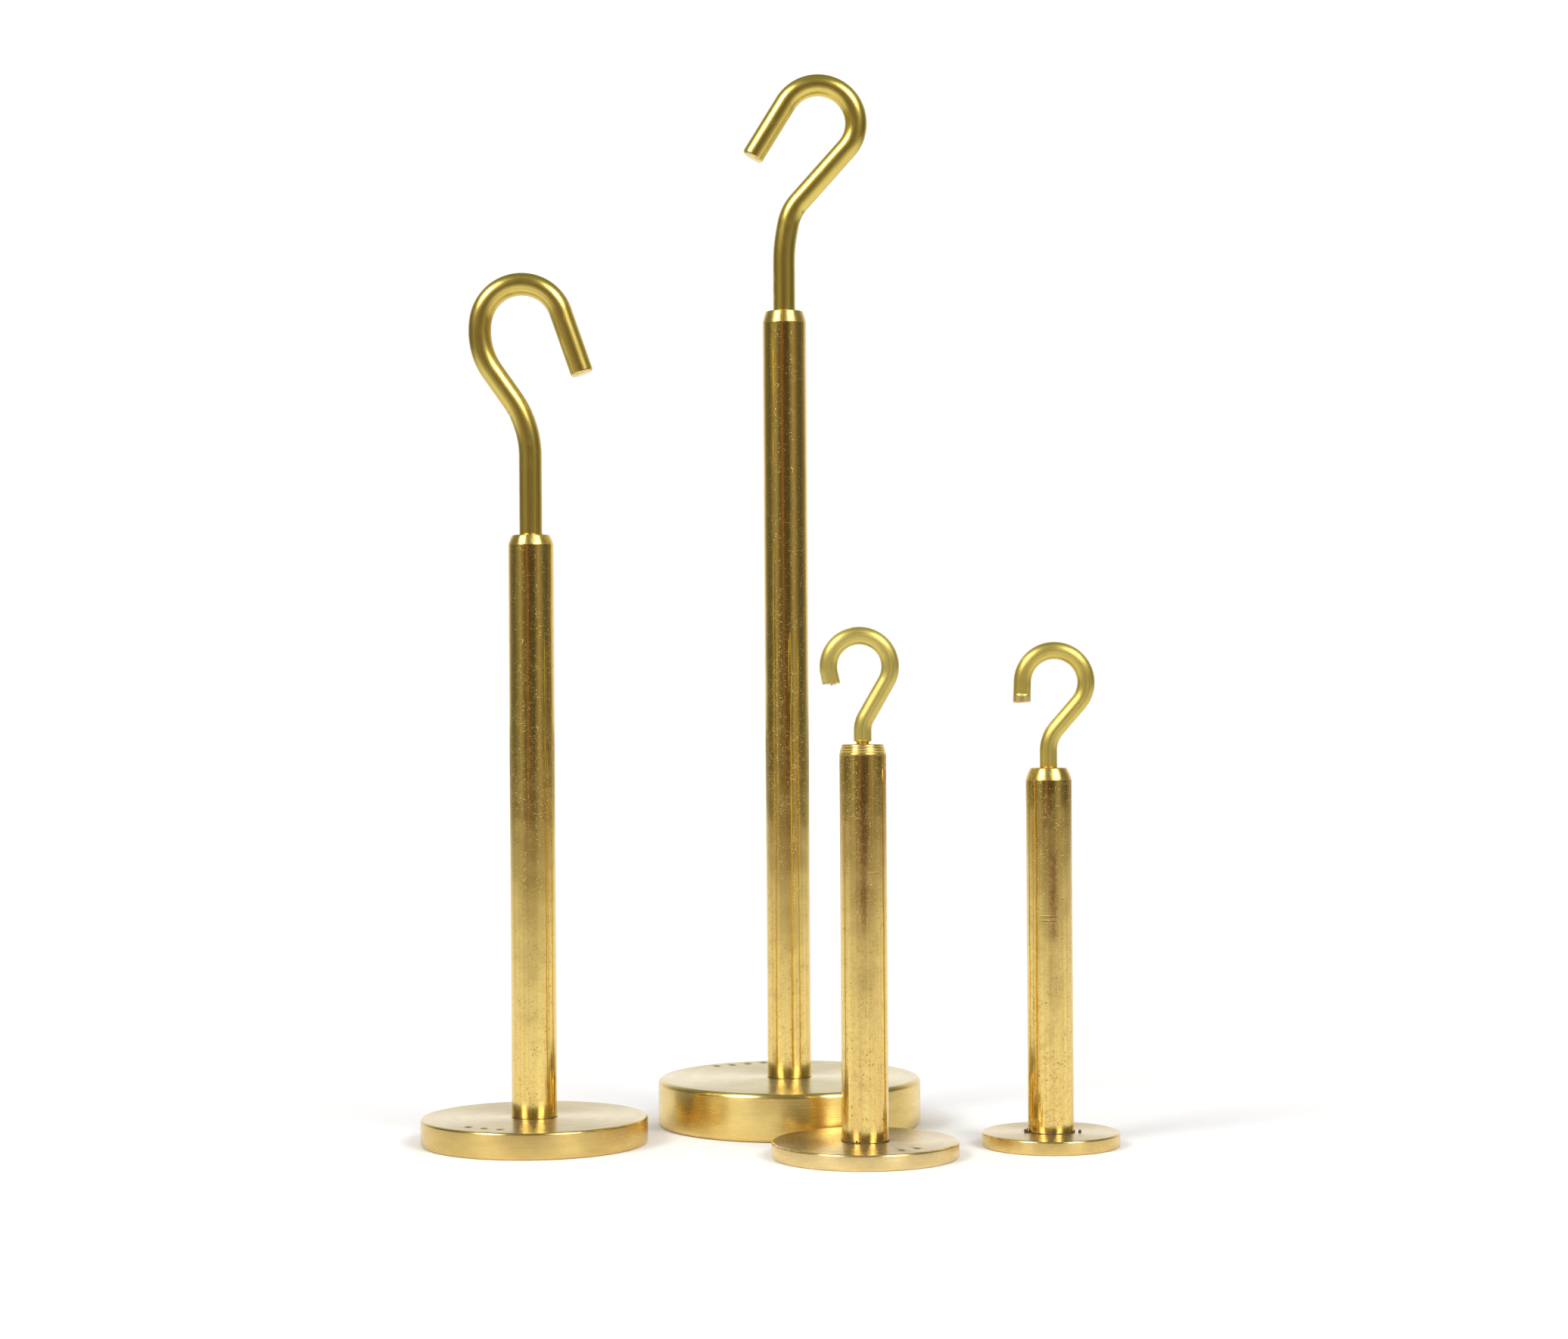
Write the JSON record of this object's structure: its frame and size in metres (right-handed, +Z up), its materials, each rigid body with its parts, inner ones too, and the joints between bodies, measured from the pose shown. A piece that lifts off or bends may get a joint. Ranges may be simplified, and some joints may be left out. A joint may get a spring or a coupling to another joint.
{
  "type": "hooked weight hanger set",
  "caption": "Brass weight hangers for slotted masses, each a turned disc with a round stem and a bent wire hook, graded in size and standing upright.",
  "frame": {"origin": "on the table surface, under the middle of the box that holds the whole set", "axes": "+Z up along the stems, +X to the right along the row of hangers, +Y away from the viewer, towards the tall hanger"},
  "size_m": [0.0972, 0.0628, 0.1528],
  "materials": {
    "turned_disc": "satin, fine lathe lines round the rim and over the top",
    "polished_stem": "polished bar with fine pits and lengthwise scratches",
    "drawn_wire": "satin drawn wire, slightly dull",
    "screw": "plain machined"
  },
  "bodies": {
    "hanger_100g": {"base_100g": "turned_disc", "stem_100g": "polished_stem", "base_screw_100g": "screw"},
    "hook_100g": {"hook_100g": "drawn_wire"},
    "hanger_50g": {"base_50g": "turned_disc", "stem_50g": "polished_stem", "base_screw_50g": "screw"},
    "hook_50g": {"hook_50g": "drawn_wire"},
    "hanger_25g": {"base_25g": "turned_disc", "stem_25g": "polished_stem", "base_screw_25g": "screw"},
    "hook_25g": {"hook_25g": "drawn_wire"},
    "hanger_20g": {"base_20g": "turned_disc", "stem_20g": "polished_stem", "base_screw_20g": "screw"},
    "hook_20g": {"hook_20g": "drawn_wire"}
  },
  "joints": [
    {"name": "lift_50g", "type": "slide", "parent": "hanger_100g", "child": "hanger_50g", "axis": [0, 0, 1], "range_m": [0, 0.08]},
    {"name": "lift_25g", "type": "slide", "parent": "hanger_100g", "child": "hanger_25g", "axis": [0, 0, 1], "range_m": [0, 0.08]},
    {"name": "lift_20g", "type": "slide", "parent": "hanger_100g", "child": "hanger_20g", "axis": [0, 0, 1], "range_m": [0, 0.08]},
    {"name": "turn_hook_100g", "type": "hinge", "parent": "hanger_100g", "child": "hook_100g", "pos_m": [0.003, 0.01238, 0.11825], "axis": [0, 0, 1], "range_deg": [-180, 180]},
    {"name": "turn_hook_50g", "type": "hinge", "parent": "hanger_50g", "child": "hook_50g", "pos_m": [-0.03275, -0.00443, 0.0851], "axis": [0, 0, 1], "range_deg": [-180, 180]},
    {"name": "turn_hook_25g", "type": "hinge", "parent": "hanger_25g", "child": "hook_25g", "pos_m": [0.0132, -0.01872, 0.0558], "axis": [0, 0, 1], "range_deg": [-180, 180]},
    {"name": "turn_hook_20g", "type": "hinge", "parent": "hanger_20g", "child": "hook_20g", "pos_m": [0.0391, -0.00992, 0.0522], "axis": [0, 0, 1], "range_deg": [-180, 180]}
  ]
}
